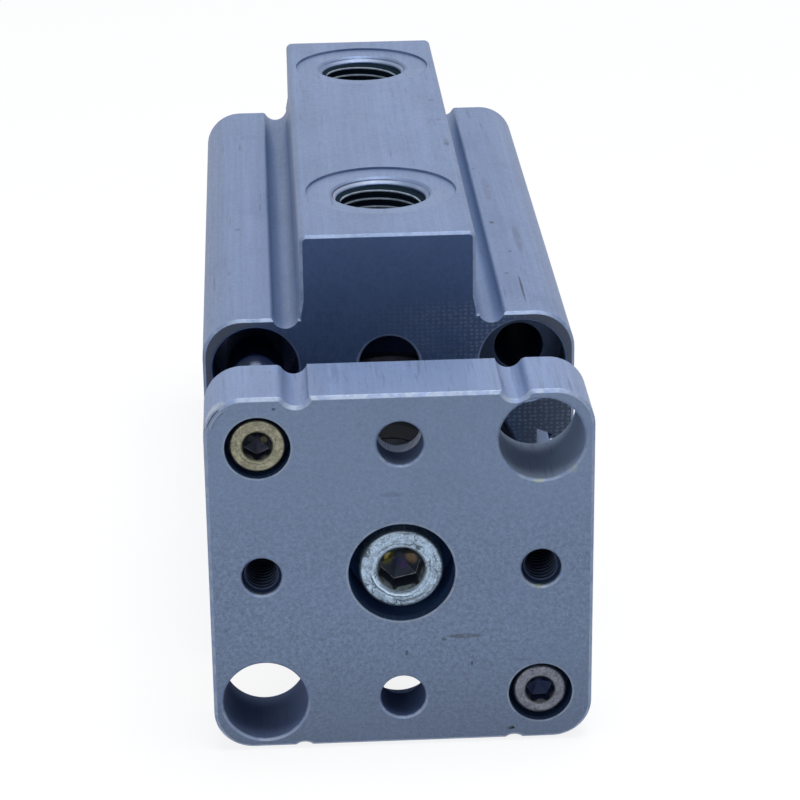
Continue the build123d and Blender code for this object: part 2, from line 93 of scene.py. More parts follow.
class Shader:
    """A material's nodes, with short calls for the few kinds that are used here."""

    def __init__(self, name):
        self.material = bpy.data.materials.new(name)
        self.material.use_nodes = True
        self.tree = self.material.node_tree
        self.shader = self.tree.nodes["Principled BSDF"]
        self.place = self.add("TexCoord").outputs["Object"]
        self.facing = self.split(self.add("NewGeometry").outputs["True Normal"])
        self.spot = self.split(self.place)

    def add(self, kind):
        return self.tree.nodes.new("ShaderNode" + kind)

    def link(self, start, end):
        self.tree.links.new(start, end)

    def split(self, vector):
        node = self.add("SeparateXYZ")
        self.link(vector, node.inputs[0])
        return node.outputs

    def join(self, x, y, z):
        node = self.add("CombineXYZ")
        for value, socket in zip((x, y, z), node.inputs):
            self.put(value, socket)
        return node.outputs[0]

    def put(self, value, socket):
        """Links value to socket, or sets it there if it is a plain number or colour."""
        if isinstance(value, bpy.types.NodeSocket):
            self.link(value, socket)
        elif isinstance(value, tuple) and socket.type == "RGBA":
            socket.default_value = (*value, 1.0)
        else:
            socket.default_value = value

    def math(self, operation, first, second=0.0):
        node = self.add("Math")
        node.operation = operation
        self.put(first, node.inputs[0])
        self.put(second, node.inputs[1])
        return node.outputs[0]

    def all_of(self, *values):
        product = values[0]
        for value in values[1:]:
            product = self.math("MULTIPLY", product, value)
        return product

    def none_of(self, value):
        return self.math("SUBTRACT", 1.0, value)

    def mix(self, share, first, second):
        node = self.add("Mix")
        node.data_type = "RGBA"
        self.put(share, node.inputs[0])
        self.put(first, node.inputs[6])
        self.put(second, node.inputs[7])
        return node.outputs[2]

    def over(self, colour, tint, *shares):
        """The colour with a tint over it, as strong as the product of the shares."""
        return self.mix(self.all_of(*shares), colour, tint)

    def step(self, value, low, high, to_low=0.0, to_high=1.0):
        """A smooth step from to_low, at value low, to to_high, at value high."""
        node = self.add("MapRange")
        node.interpolation_type = "SMOOTHSTEP"
        self.put(value, node.inputs[0])
        for socket, number in zip(node.inputs[1:5], (low, high, to_low, to_high)):
            socket.default_value = number
        return node.outputs[0]

    def band(self, value, low, high, soft):
        """1 from low to high, with soft slopes outside."""
        return self.all_of(self.step(value, low - soft, low), self.step(value, high, high + soft, 1.0, 0.0))

    def stretched(self, scale, turn=(0.0, 0.0, 0.0)):
        node = self.add("Mapping")
        self.link(self.place, node.inputs[0])
        node.inputs["Rotation"].default_value = turn
        node.inputs["Scale"].default_value = scale
        return node.outputs[0]

    def noise(self, scale, detail=3.0, roughness=0.55, place=None):
        node = self.add("TexNoise")
        self.link(place or self.place, node.inputs["Vector"])
        node.inputs["Scale"].default_value = scale
        node.inputs["Detail"].default_value = detail
        node.inputs["Roughness"].default_value = roughness
        return node.outputs[0]

    def cells(self, scale, place=None, randomness=1.0):
        """Distance to the nearest cell's point, and a random number for each cell."""
        node = self.add("TexVoronoi")
        self.link(place or self.place, node.inputs["Vector"])
        node.inputs["Scale"].default_value = scale
        node.inputs["Randomness"].default_value = randomness
        return node.outputs["Distance"], node.outputs["Color"]

    def cracks(self, scale, width, place):
        """Thin lines where cells meet: width is in cells."""
        node = self.add("TexVoronoi")
        node.feature = "DISTANCE_TO_EDGE"
        self.link(place, node.inputs["Vector"])
        node.inputs["Scale"].default_value = scale
        return self.step(node.outputs["Distance"], width * 0.4, width, 1.0, 0.0)

    def shaken(self, amount, scale):
        """The place, moved about by noise of a given amount and scale."""
        node = self.add("TexNoise")
        self.link(self.place, node.inputs["Vector"])
        node.inputs["Scale"].default_value = scale
        moved = self.add("VectorMath")
        moved.operation = "MULTIPLY_ADD"
        self.link(node.outputs["Color"], moved.inputs[0])
        moved.inputs[1].default_value = (amount, amount, amount)
        self.link(self.place, moved.inputs[2])
        return moved.outputs[0]

    def pits(self, scale, size, share, place=None):
        """Scattered small spots: size is in cells, share is how many cells have one."""
        distance, chance = self.cells(scale, place)
        chosen = self.step(chance, 1 - share, 1.001 - share)
        return self.all_of(self.step(distance, size * 0.6, size, 1.0, 0.0), chosen)

    def off_axis(self, centre, across=ALONG_Y):
        """Distance from the axis through centre, which crosses the two coordinates in across."""
        sideways = self.math("SUBTRACT", self.spot[across[0]], centre[0])
        upwards = self.math("SUBTRACT", self.spot[across[1]], centre[1])
        squares = self.math("ADD", self.all_of(sideways, sideways), self.all_of(upwards, upwards))
        return self.math("SQRT", squares)

    def near(self, centre, radius, stretch=(1.0, 1.0, 1.0)):
        """1 close to a point and 0 beyond radius, in millimetres. Stretch narrows it along each axis."""
        shift = self.add("VectorMath")
        shift.operation = "SUBTRACT"
        self.link(self.place, shift.inputs[0])
        shift.inputs[1].default_value = Vector(centre) * MM
        squeeze = self.add("VectorMath")
        squeeze.operation = "MULTIPLY"
        self.link(shift.outputs[0], squeeze.inputs[0])
        squeeze.inputs[1].default_value = stretch
        length = self.add("VectorMath")
        length.operation = "LENGTH"
        self.link(squeeze.outputs[0], length.inputs[0])
        return self.step(length.outputs["Value"], radius * 0.55 * MM, radius * MM, 1.0, 0.0)

    def hollow(self, distance, low, high):
        """0 in hollows of the piece itself and 1 on open faces."""
        node = self.add("AmbientOcclusion")
        node.samples = 8
        node.only_local = True
        node.inputs["Distance"].default_value = distance
        return self.step(node.outputs["AO"], low, high)

    def edges(self, radius, low=0.02, high=0.12):
        """1 along sharp edges, and the bevelled normal that softens them."""
        bevel = self.add("Bevel")
        bevel.samples = 8
        bevel.inputs["Radius"].default_value = radius
        node = self.add("VectorMath")
        node.operation = "DOT_PRODUCT"
        self.link(bevel.outputs[0], node.inputs[0])
        self.link(self.add("NewGeometry").outputs["Normal"], node.inputs[1])
        return self.step(node.outputs["Value"], 1 - high, 1 - low, 1.0, 0.0), bevel.outputs[0]

    def bump(self, height, distance, strength=1.0, normal=None):
        node = self.add("Bump")
        node.inputs["Strength"].default_value = strength
        node.inputs["Distance"].default_value = distance
        self.link(height, node.inputs["Height"])
        if normal is not None:
            self.link(normal, node.inputs["Normal"])
        return node.outputs[0]

    def finish(self, colour, metallic, roughness, normal, glint=0.5):
        self.put(colour, self.shader.inputs["Base Color"])
        self.put(metallic, self.shader.inputs["Metallic"])
        self.put(roughness, self.shader.inputs["Roughness"])
        self.put(glint, self.shader.inputs["Specular IOR Level"])
        self.link(normal, self.shader.inputs["Normal"])
        return self.material


def plain_metal(name, colour, roughness, grain, metallic):
    """Turned metal, rubber and plastic, with a fine grain."""
    s = Shader(name)
    fine = s.noise(grain, 4.0, 0.6)
    cloud = s.noise(140, 3.0)
    out = s.mix(s.step(fine, 0.35, 0.65), times(colour, 0.75), times(colour, 1.1))
    out = s.over(out, times(colour, 0.55), s.step(cloud, 0.4, 0.75, 0.0, 0.35))
    rough = s.step(fine, 0.3, 0.7, roughness * 0.8, roughness * 1.2)
    return s.finish(out, metallic, rough, s.bump(fine, 0.02 * MM, 0.4))


def ground_steel(name, colour):
    """Hardened rod ground round its axis: smooth, with faint rings."""
    s = Shader(name)
    rings = s.noise(900, 3.0, 0.7, s.stretched((0.06, 1, 0.06)))
    cloud = s.noise(160, 3.0)
    out = s.mix(s.step(rings, 0.35, 0.65), times(colour, 0.86), times(colour, 1.10))
    out = s.over(out, times(colour, 0.75), s.step(cloud, 0.4, 0.7, 0.0, 0.2))
    return s.finish(out, 1.0, s.step(rings, 0.3, 0.7, 0.07, 0.13), s.bump(rings, 0.003 * MM, 0.3))


# A hole, with its radius in millimetres and the tint of its wall, which is painted shade as the walls sit in
# shadow. A deepening wall's painted shade is darkest at the mouth and lightens inwards, a side_lit one has
# painted light on its right, and a shiny wall reflects like metal.
Well = namedtuple("Well", "centre radius tint strength shade shiny across",
                  defaults=("plain", False, ALONG_Y))

# A coloured line round an axis, seen within reach: a point and a distance. Its lengths are in millimetres.
Ring = namedtuple("Ring", "centre inner outer reach tint strength across", defaults=(ALONG_Y,))

# A spot, in millimetres: narrower along an axis where stretch is more than 1, and longer where it is less
Mark = namedtuple("Mark", "place radius stretch tint strength")


class Aluminium(Shader):
    """Anodised aluminium with drawn lines along its sides, grained end faces, painted shade in its holes and
    hollows, and edges lightened partly as bare worn metal and partly as a painted highlight.

    Its end faces lie at front and back. What the barrel and the plate don't share is in their own classes.
    """

    # The hollow tint is painted shade, laid in the piece's own hollows.
    hollow_shade = (0.060, 0.120, 0.240)
    cloud_tint = (0.30, 0.42, 0.66)

    def __init__(self, name, side, face, front, back):
        super().__init__(name)
        self.side, self.face = side, face
        turned_away = self.math("ABSOLUTE", self.facing[1])
        self.ends = self.step(turned_away, 0.9, 0.97)
        self.sides = self.step(turned_away, 0.3, 0.6, 1.0, 0.0)
        self.broken_edge = self.band(turned_away, 0.6, 0.82, 0.05)
        self.fine = self.noise(5200, 3.0, 0.75)
        self.grain = self.noise(2300, 4.0, 0.75)
        self.rubbed = self.noise(700, 3.0, 0.7)
        self.inset = self.math("MINIMUM", self.math("SUBTRACT", self.spot[1], front),
                               self.math("SUBTRACT", back, self.spot[1]))

    def drawn_sides(self):
        """The colour of the sides, and the height of their lines."""
        along = self.stretched((1, 0.012, 1))
        lines = self.noise(2600, 3.0, 0.75, along)
        bands = self.noise(520, 2.0, 0.6, along)
        colour = self.mix(self.step(lines, 0.25, 0.75), times(self.side, 0.90), times(self.side, 1.08))
        return self.over(colour, times(self.side, 0.84), self.step(bands, 0.42, 0.68, 0.0, 0.55)), lines

    def grained_ends(self):
        spread = self.grain_contrast
        colour = self.mix(self.step(self.grain, 0.3, 0.7), times(self.face, 1 - spread),
                          times(self.face, 1 + spread))
        colour = self.over(colour, times(self.face, 1.6), self.step(self.fine, 0.56, 0.70, 0.0, 3 * spread))
        colour = self.over(colour, times(self.face, 0.5), self.step(self.fine, 0.30, 0.44, 3 * spread, 0.0))
        return self.end_tones(colour)

    def shaded(self, well):
        if well.shade == "deepening":
            inwards = self.step(self.inset, 0.5 * MM, 3 * MM)
            return self.mix(inwards, times(well.tint, 0.5), times(well.tint, 2.6))
        if well.shade == "side_lit":
            on_the_right = self.step(self.facing[0], -0.95, 0.1, 0.8, 0.0)
            return self.mix(on_the_right, well.tint, times(well.tint, 1.6))
        return well.tint

    def shaded_hole_walls(self, colour, wells):
        """The colour with painted shade on the holes' walls, and where the walls, their shiny ones and their
        mouths are.
        """
        walls, shiny, mouths = 0.0, 0.0, 0.0
        soft, mouth_start, mouth_end = 0.04 * MM, 0.5 * MM, 0.7 * MM
        buried = self.math("MAXIMUM", self.step(self.inset, 0.3 * MM, 0.4 * MM), self.none_of(self.ends))
        below_rib = self.step(self.spot[2], RIB_TOP - 1.2 * MM, RIB_TOP - 0.9 * MM, 1.0, 0.0)
        for well in wells:
            radius = well.radius * MM
            distance = self.off_axis(well.centre, well.across)
            inside = self.all_of(self.step(distance, radius - soft, radius + soft, 1.0, 0.0),
                                 buried if well.across == ALONG_Y else below_rib)
            colour = self.over(colour, self.shaded(well), inside, well.strength)
            walls = self.math("MAXIMUM", walls, inside)
            if well.shiny:
                shiny = self.math("MAXIMUM", shiny, inside)
            mouth = self.step(distance, radius + mouth_start, radius + mouth_end, 1.0, 0.0)
            mouths = self.math("MAXIMUM", mouths, mouth)
        return colour, walls, shiny, mouths

    def traced(self, colour, rings):
        """The colour with its rings, each broken in places."""
        for ring in rings:
            distance = self.off_axis(ring.centre, ring.across)
            line = self.band(distance, ring.inner * MM, ring.outer * MM, 0.05 * MM)
            broken = self.step(self.noise(self.ring_gaps, 2.0), 0.36, 0.5, 0.25, 1.0)
            reach = self.near(ring.reach[:3], ring.reach[3])
            colour = self.over(colour, ring.tint, line, broken, reach, ring.strength)
        return colour

    def scratched(self, colour, spots, marks):
        """The colour with short streaks along the profile, pits, and marks in fixed places."""
        streaks = self.noise(1500, 2.0, 0.5, self.stretched((1, 0.07, 1)))
        scores = self.noise(3000, 2.0, 0.6, self.stretched((1, 0.06, 1), (0, 0, 0.06)))
        upward = self.step(self.facing[2], 0.6, 0.9)
        colour = self.over(colour, times(self.side, 0.3), self.step(streaks, 0.66, 0.75), self.sides, 0.4)
        colour = self.over(colour, times(self.side, 0.4), self.step(scores, 0.57, 0.66), upward, self.scoring)
        colour = self.over(colour, times(self.side, 0.22), spots, 0.6)
        ragged = self.step(self.rubbed, 0.3, 0.55, 0.25, 1.0)
        for mark in marks:
            spot = self.near(mark.place, mark.radius, mark.stretch)
            colour = self.over(colour, mark.tint, spot, ragged, mark.strength)
        return colour

    def build(self, wells, rings, marks):
        side_colour, lines = self.drawn_sides()
        colour = self.mix(self.ends, side_colour, self.grained_ends())
        cloud, broad_cloud = self.noise(120, 4.0, 0.6), self.noise(60, 2.0)
        colour = self.over(colour, times(self.face, 0.7), self.step(cloud, 0.45, 0.7, 0.0, 0.16))
        colour = self.over(colour, self.cloud_tint, self.step(broad_cloud, 0.5, 0.75, 0.0, 0.10))
        # Painted shade in the piece's own hollows, found by ambient occlusion.
        colour = self.mix(self.hollow(4 * MM, 0.2, 0.85), self.hollow_shade, colour)
        colour, walls, shiny, mouths = self.shaded_hole_walls(colour, wells)
        edge, soft_normal = self.edges(0.14 * MM)
        # Edges and chamfers are lightened, partly as bare worn metal and partly as a painted highlight.
        worn_lit_edge = self.all_of(self.math("MAXIMUM", edge, self.broken_edge),
                                  self.step(self.rubbed, 0.36, 0.6, 0.15, 0.9))
        colour = self.over(colour, self.edge_tint, self.worn_and_lit(worn_lit_edge, mouths), 0.7)
        spots = self.math("MAXIMUM", self.pits(650, 0.10, 0.10),
                          self.pits(1500, 0.16, 0.06, self.stretched((1, 0.35, 1))))
        colour = self.scratched(self.traced(colour, rings), spots, marks)

        normal = self.bump(self.mix(self.ends, lines, self.fine), 0.03 * MM, 0.35, soft_normal)
        normal = self.bump(spots, -0.05 * MM, 0.6, normal)
        dull_walls = self.all_of(walls, self.none_of(shiny), 0.25)
        rough = self.math("ADD", self.step(self.grain, 0.3, 0.7, 0.42, 0.58), dull_walls)
        metallic = self.math("ADD", self.step(walls, 0.0, 1.0, 0.35, 0.0), shiny)
        return self.finish(colour, metallic, rough, normal, self.step(walls, 0.0, 1.0, 0.5, 0.15))


class BarrelAluminium(Aluminium):
    grain_contrast, scoring, ring_gaps = 0.12, 0.12, 150
    edge_tint, dot_tint = (0.31, 0.385, 0.52), (0.150, 0.190, 0.260)
    lower_lobe, upper_lobe = (0.056, 0.078, 0.116), (0.078, 0.090, 0.118)

    def end_tones(self, colour):
        """Grey lobes at the corners, and faint dots that grow stronger to the right."""
        distance, _ = self.cells(1850, self.stretched((0.95, 1, 1.2)), 0.3)
        dots = self.all_of(self.step(distance, 0.22, 0.42, 1.0, 0.0),
                           self.step(self.spot[0], -4 * MM, 13 * MM, 0.1, 1.0),
                           self.step(self.spot[2], SHOULDER, SHOULDER + 2.5 * MM, 1.0, 0.0),
                           self.step(self.noise(240, 2.0, 0.5), 0.36, 0.6, 0.35, 1.0))
        lobes = self.step(self.math("ABSOLUTE", self.spot[0]), 11 * MM, 15.5 * MM, 0.0, 0.85)
        upper = self.step(self.spot[2], 9 * MM, 13 * MM)
        colour = self.over(colour, self.mix(upper, self.lower_lobe, self.upper_lobe), lobes)
        return self.over(colour, self.dot_tint, dots, self.none_of(self.all_of(lobes, upper)), 0.85)

    def worn_and_lit(self, edge, mouths):
        """The bright edge, partly worn metal and partly painted highlight: hardly any on holes' edges, and
        less on the rib's edges than the shoulders'.
        """
        beside_rib = self.step(self.math("ABSOLUTE", self.spot[0]), 8.6 * MM, 9.6 * MM, 0.6, 1.0)
        return self.all_of(edge, self.step(mouths, 0.0, 1.0, 1.0, 0.15), beside_rib)


class PlateAluminium(Aluminium):
    grain_contrast, scoring, ring_gaps = 0.25, 0.24, 900
    edge_tint, bright_wall = (0.38, 0.44, 0.52), (0.95, 0.98, 1.0)

    def end_tones(self, colour):
        """Painted shade towards the bottom and painted light towards the top."""
        low = self.step(self.spot[2], -19 * MM, -5 * MM, 0.5, 0.0)
        high = self.step(self.spot[2], -2 * MM, 12 * MM, 0.0, 0.5)
        return self.over(self.over(colour, times(self.face, 0.55), low), times(self.face, 1.2), high)

    def shaded_hole_walls(self, colour, wells):
        """The upper load hole also has a painted band of light on its wall halfway in, standing in for light
        falling on the counterbore behind it.
        """
        colour, *places = super().shaded_hole_walls(colour, wells)
        halfway = self.band(self.spot[1], PLATE_FRONT + 3.3 * MM, PLATE_FRONT + 5.1 * MM, 0.1 * MM)
        inside = self.step(self.off_axis(TOP_LOAD), (LOAD_HOLE + 0.1) * MM, (LOAD_HOLE + 0.2) * MM, 1.0, 0.0)
        return (self.over(colour, self.bright_wall, halfway, inside), *places)

    def worn_and_lit(self, edge, mouths):
        """The bright edge, partly worn metal and partly painted highlight, comes in patches on holes' edges.
        """
        patches = self.step(self.noise(330, 2.0), 0.35, 0.60, 0.45, 1.0)
        return self.all_of(edge, self.mix(mouths, (1.0, 1.0, 1.0), patches))


def tapped(name, crest_highlight, flank_shade, centres, across, crest):
    """Thread cut in aluminium: painted light along the crests and painted shade between them."""
    s = Shader(name)
    nearest = s.off_axis(centres[0], across)
    for centre in centres[1:]:
        nearest = s.math("MINIMUM", nearest, s.off_axis(centre, across))
    rough = s.noise(1600, 3.0, 0.6)
    off_crest = s.step(nearest, (crest + 0.03) * MM, (crest + 0.16) * MM)
    colour = s.mix(off_crest, crest_highlight, flank_shade)
    colour = s.over(colour, flank_shade, s.step(rough, 0.35, 0.65, 0.0, 0.35))
    return s.finish(colour, 0.0, 0.8, s.bump(rough, 0.02 * MM, 0.3), 0.05)


class Zinc(Shader):
    """Plated screw steel: a battered ring on top, a dim side, and a hexagon socket with painted shadow,
    coloured stains and painted glints.

    The screw's axis runs along Y through centre, and its head starts at top.
    """

    lit_floor_edge = (0.40, 0.44, 0.42)
    top_metallic, side_metallic = (0.80, 0.80, 0.80), (0.25, 0.25, 0.25)

    def __init__(self, name, colour, inner, side_tint, stains_and_glints, centre, size, top):
        super().__init__(name)
        self.colour, self.inner, self.side_tint, self.stains_and_glints = colour, inner, side_tint, stains_and_glints
        self.centre, self.size, self.top, self.scars = centre, size, top, size["scars"]
        self.head = size["head"] / 2 * MM
        self.socket = size["hex"] / sqrt(3) * 1.06 * MM
        self.radius = self.off_axis(centre)
        self.depth = self.math("SUBTRACT", self.spot[1], top)
        self.fine = self.noise(4200, 4.0, 0.75)
        self.blotch = self.noise(1300, 3.0, 0.75)
        self.wavy = self.ragged(0.35 * MM)
        round_the_axis = self.join(self.all_of(self.wavy, 4200), self.all_of(self.spot[0], 260),
                                   self.all_of(self.spot[2], 260))
        self.arcs = self.noise(1.0, 1.0, 0.5, round_the_axis)

    def ragged(self, amount):
        """Distance from the axis, made uneven by an amount."""
        return self.math("ADD", self.radius, self.all_of(self.math("SUBTRACT", self.blotch, 0.5), amount))

    def battered_top(self):
        """Mottled plating with dents round the axis, specks and cracks."""
        out = self.mix(self.step(self.fine, 0.32, 0.68), times(self.colour, 0.62), times(self.colour, 1.30))
        out = self.over(out, times(self.colour, 0.42), self.step(self.blotch, 0.48, 0.60, 0.0, 0.5))
        out = self.over(out, times(self.colour, 1.5), self.step(self.blotch, 0.34, 0.44, 0.5, 0.0))
        dark_arcs = self.step(self.arcs, 0.58, 0.64, 0.0, 0.6 * self.scars)
        bright_arcs = self.step(self.arcs, 0.34, 0.42, 0.35 * self.scars, 0.0)
        out = self.over(out, times(self.colour, 0.18), dark_arcs)
        out = self.over(out, times(self.colour, 1.6), bright_arcs)
        specks = self.step(self.noise(2400, 3.0, 0.7), 0.60, 0.66)
        out = self.over(out, times(self.colour, 0.25), specks, 0.55)
        cracks = self.cracks(900, 0.06, self.shaken(1.2 * MM, 1100))
        patches = self.step(self.noise(520, 2.0), 0.545, 0.60)
        out = self.over(out, times(self.colour, 0.14), cracks, patches, 0.75 * self.scars)
        lip = self.step(self.ragged(0.5 * MM), self.socket + 0.02 * MM, self.socket + 0.16 * MM, 1.0, 0.0)
        return self.scarred(self.over(out, times(self.colour, 0.22), lip, 0.85))

    def scarred(self, out):
        """The top with a curved scar below the socket and to its left, dark with a bright lip."""
        x, z = self.centre
        scar = (self.socket + self.head) / 2 - 0.28 * MM
        place = self.all_of(self.step(self.spot[2], z - 0.9 * MM, z - 0.1 * MM, 1.0, 0.0),
                            self.step(self.spot[0], x + 0.6 * MM, x + 1.6 * MM, 1.0, 0.0))
        dark = self.band(self.wavy, scar, scar + 0.06 * MM, 0.03 * MM)
        out = self.over(out, times(self.colour, 0.16), dark, place, 0.85 * self.scars)
        bright = self.band(self.wavy, scar - 0.20 * MM, scar - 0.08 * MM, 0.04 * MM)
        return self.over(out, times(self.colour, 1.8), bright, place, 0.7 * self.scars)

    def stained_socket(self):
        """The deeper part of the socket: bright walls, a painted lit edge round the floor, and stains with
        painted glints among them.
        """
        floor = self.size["socket"] * MM
        above_floor = self.step(self.depth, floor - 0.12 * MM, floor - 0.06 * MM)
        out = self.mix(above_floor, times(self.inner, 2.6), self.inner)
        edge = self.band(self.depth, floor - 0.06 * MM, floor + 0.01 * MM, 0.03 * MM)
        lit = self.step(self.blotch, 0.40, 0.5)
        out = self.over(out, self.lit_floor_edge, edge, lit, 0.6 * self.scars)
        x, z = self.centre
        for place, radius, tint, strength in self.stains_and_glints:
            centre = (x / MM + place[0], self.top / MM + place[1], z / MM + place[2])
            out = self.over(out, tint, self.near(centre, radius), strength)
        return out

    def build(self):
        socket = self.all_of(self.step(self.depth, 0.015 * MM, 0.08 * MM),
                             self.step(self.radius, self.socket * 0.97, self.socket * 1.02, 1.0, 0.0))
        shadow = self.mix(self.step(self.blotch, 0.4, 0.6), times(self.side_tint, 0.05),
                          times(self.side_tint, 0.15))
        out = self.over(self.battered_top(), shadow, socket, 0.95)
        deep = self.step(self.depth, 0.34 * MM, 0.42 * MM)
        out = self.over(out, self.stained_socket(), socket, deep)
        side = self.all_of(self.step(self.depth, 0.04 * MM, 0.22 * MM),
                           self.step(self.radius, self.head - 0.5 * MM, self.head - 0.3 * MM))
        side_colour = self.mix(self.step(self.depth, 0.3 * MM, 0.9 * MM), times(self.side_tint, 0.3),
                               self.side_tint)
        grain = self.step(self.fine, 0.35, 0.65, 0.35, 0.0)
        out = self.over(out, self.over(side_colour, times(self.side_tint, 0.2), grain), side)
        _, soft_normal = self.edges(0.05 * MM)
        dents = self.all_of(self.step(self.arcs, 0.60, 0.68), 1.5)
        relief = self.bump(self.math("SUBTRACT", self.fine, dents), 0.02 * MM, 0.6, soft_normal)
        metallic = self.mix(side, self.top_metallic, self.side_metallic)
        return self.finish(out, metallic, self.step(self.fine, 0.3, 0.7, 0.32, 0.5), relief)


# Holes, lines and marks of the barrel and the plate, in millimetres. Wells reach a little past their walls.

WALL_REACH = 0.06
# The tints of the holes' walls below are painted shade, as the walls sit in shadow; CAP_SHADOW is painted
# shadow seen through the load holes.
DARK_HOLE_SHADE, NAVY_HOLE_SHADE = (0.016, 0.042, 0.110), (0.050, 0.105, 0.300)
DIM_HOLE_SHADE, MOUNTING_HOLE_SHADE = (0.050, 0.072, 0.125), (0.020, 0.050, 0.160)
CAP_SHADOW, PORT_WALL_SHADE = (0.006, 0.014, 0.042), (0.012, 0.030, 0.055)
PLATE_WELLS = (
    Well(MIDDLE, M5_COUNTERBORE + WALL_REACH, DARK_HOLE_SHADE, 0.97, "deepening"),
    Well(UPPER_GUIDE, M3_COUNTERBORE + WALL_REACH, DARK_HOLE_SHADE, 0.97, "deepening"),
    Well(LOWER_GUIDE, M3_COUNTERBORE + WALL_REACH, DARK_HOLE_SHADE, 0.97, "deepening"),
    Well(RIGHT_ACCESS, ACCESS_HOLE + WALL_REACH, (0.235, 0.290, 0.375), 0.9, "side_lit"),
    Well(LEFT_ACCESS, ACCESS_HOLE + WALL_REACH, (0.095, 0.130, 0.225), 0.8, "side_lit"),
    Well(TOP_LOAD, LOAD_HOLE + WALL_REACH, (0.09, 0.12, 0.18), 0.8, "side_lit"),
    Well(BOTTOM_LOAD, LOAD_HOLE + WALL_REACH, (0.050, 0.078, 0.165), 0.85, "side_lit"),
    Well(LEFT_TAPPED, TAPPED_HOLE + WALL_REACH, (0.040, 0.055, 0.075), 0.9, "side_lit"),
    Well(RIGHT_TAPPED, TAPPED_HOLE + WALL_REACH, (0.040, 0.055, 0.075), 0.9, "side_lit"),
)
BARREL_WELLS = (
    Well(UPPER_GUIDE, GUIDE_BORE + WALL_REACH, NAVY_HOLE_SHADE, 0.97, shiny=True),
    Well(LOWER_GUIDE, GUIDE_BORE + WALL_REACH, NAVY_HOLE_SHADE, 0.97, shiny=True),
    Well(RIGHT_ACCESS, GUIDE_BORE + WALL_REACH, DIM_HOLE_SHADE, 0.97, shiny=True),
    Well(LEFT_ACCESS, GUIDE_BORE + WALL_REACH, DIM_HOLE_SHADE, 0.97, shiny=True),
    Well(RIGHT_ACCESS, MOUNTING_HOLE, MOUNTING_HOLE_SHADE, 0.97, shiny=True),
    Well(LEFT_ACCESS, MOUNTING_HOLE, MOUNTING_HOLE_SHADE, 0.97, shiny=True),
    Well(MIDDLE, RING_GROOVE, DARK_HOLE_SHADE, 0.85, "deepening"),
    Well(TOP_LOAD, SEEN_THROUGH_LOAD_HOLE, CAP_SHADOW, 0.97),
    Well(BOTTOM_LOAD, SEEN_THROUGH_LOAD_HOLE, CAP_SHADOW, 0.97),
    Well(FRONT_PORT, PORT_HOLE + WALL_REACH, PORT_WALL_SHADE, 1.0, across=ALONG_Z),
    Well(REAR_PORT, PORT_HOLE + WALL_REACH, PORT_WALL_SHADE, 1.0, across=ALONG_Z),
)


def port_rings(centre, strengths):
    """A port's chamfer with a painted highlight, the painted shadow round it, its faced seat and a painted
    shadow line at the seat's edge.
    """
    reach = (0.0, centre[1] / MM, RIB_TOP / MM - 0.1, 16.0)
    # The light chamfer line is a painted highlight, and the two dark lines are painted shadow.
    lines = ((4.98, 5.17, (0.42, 0.48, 0.60)), (5.20, 5.27, (0.012, 0.018, 0.060)),
             (5.45, 7.95, (0.230, 0.300, 0.455)), (8.06, 8.12, (0.08, 0.11, 0.20)))
    return [Ring(centre, inner, outer, reach, tint, strength, ALONG_Z)
            for (inner, outer, tint), strength in zip(lines, strengths)]


def corner_scratches():
    """Thin arcs round the plate's upper left corner."""
    centre, reach = (-15.25 * MM, 15.25 * MM), (-18.2, PLATE_FRONT / MM + 0.1, 17.6, 1.9)
    lines = ((3.98, 4.02, (0.50, 0.55, 0.58), 0.7), (3.72, 3.78, (0.022, 0.028, 0.040), 0.9),
             (3.42, 3.50, (0.42, 0.48, 0.54), 0.6), (3.24, 3.27, (0.040, 0.050, 0.070), 0.8))
    return [Ring(centre, inner, outer, reach, tint, strength) for inner, outer, tint, strength in lines]


BARREL_RINGS = port_rings(FRONT_PORT, (0.55, 0.9, 0.35, 0.5)) + port_rings(REAR_PORT, (0.4, 0.6, 0.25, 0.4))
# Thin light lines round the counterbores' mouths, strongest low down: painted highlights.
RIM_HIGHLIGHT = (0.37, 0.42, 0.47)
PLATE_RINGS = corner_scratches() + [
    Ring(MIDDLE, 5.46, 5.54, (-1.0, PLATE_FRONT / MM, -2.5, 11.0), RIM_HIGHLIGHT, 0.75),
    Ring(UPPER_GUIDE, 3.34, 3.40, (-14.6, PLATE_FRONT / MM, 12.6, 6.0), RIM_HIGHLIGHT, 0.7),
    Ring(LOWER_GUIDE, 3.34, 3.40, (13.6, PLATE_FRONT / MM, -15.4, 6.0), RIM_HIGHLIGHT, 0.7),
]


def plate_marks(depth, rows):
    """Marks at a depth behind the plate's front: x, z, radius, stretch along x and z, tint and strength."""
    return [Mark((x, PLATE_FRONT / MM + depth, z), radius, (wide, 1.0, tall), tint, strength)
            for x, z, radius, (wide, tall), tint, strength in rows]


def level_marks(height, rows):
    """Marks on a level face of the barrel: x, y, radius, stretch along x and y, tint and strength."""
    return [Mark((x, y, height), radius, (*stretch, 1.0), tint, strength)
            for x, y, radius, stretch, tint, strength in rows]


